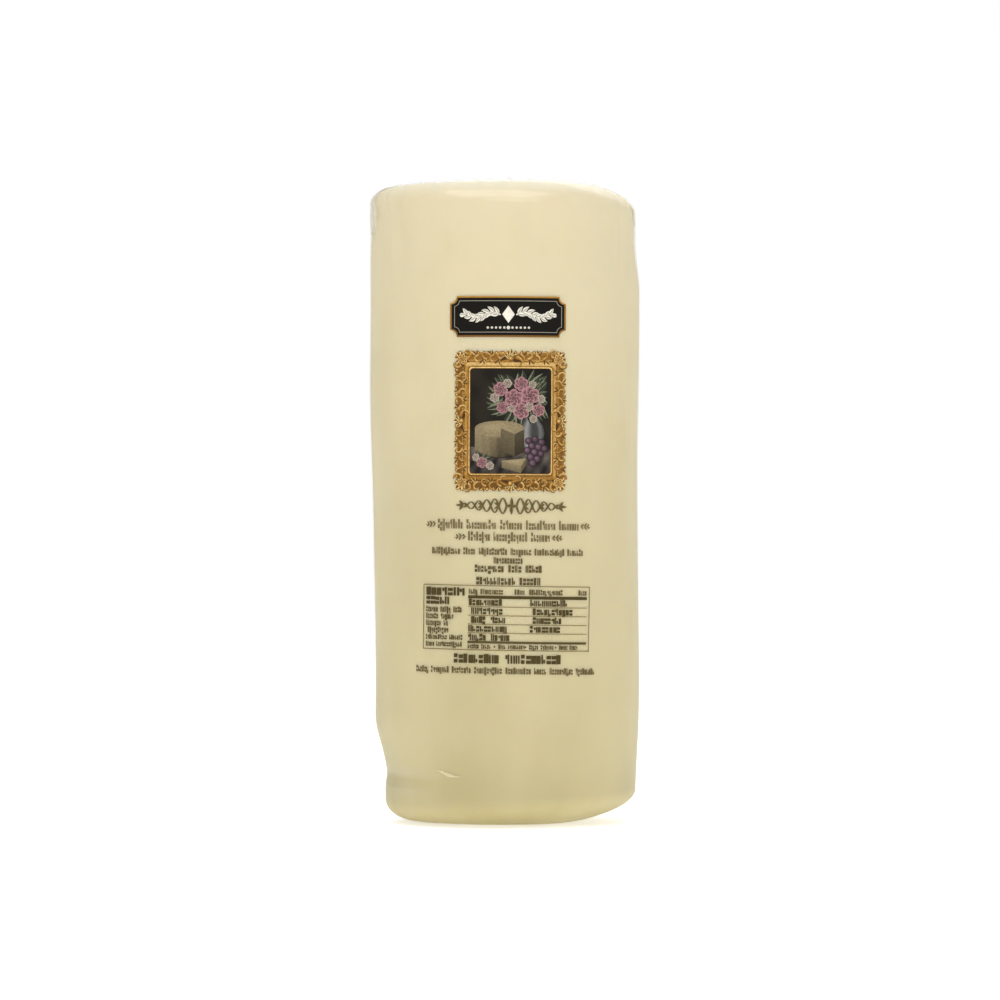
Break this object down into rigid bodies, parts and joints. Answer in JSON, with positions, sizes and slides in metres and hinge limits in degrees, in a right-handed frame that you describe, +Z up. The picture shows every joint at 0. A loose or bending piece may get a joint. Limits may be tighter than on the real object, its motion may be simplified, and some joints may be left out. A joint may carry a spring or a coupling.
{
  "type": "provolone cheese log",
  "caption": "Round deli log of provolone standing on one end in a clear printed shrink bag, with soft rounded ends and a flat heat seal across its top.",
  "frame": {"origin": "middle of the flat base that the log stands on", "axes": "+Z up the log, -Y out of the printed front, +X to the right of a viewer facing the print"},
  "size_m": [0.1148, 0.1135, 0.2716],
  "materials": {
    "cheese": "smooth pale cream cheese, slightly waxy",
    "film": "clear glossy shrink film, whiter where it is bunched",
    "print": "matt printing ink: near-black, brown and gold"
  },
  "bodies": {
    "root": {"provolone_log": "cheese"}
  },
  "joints": []
}
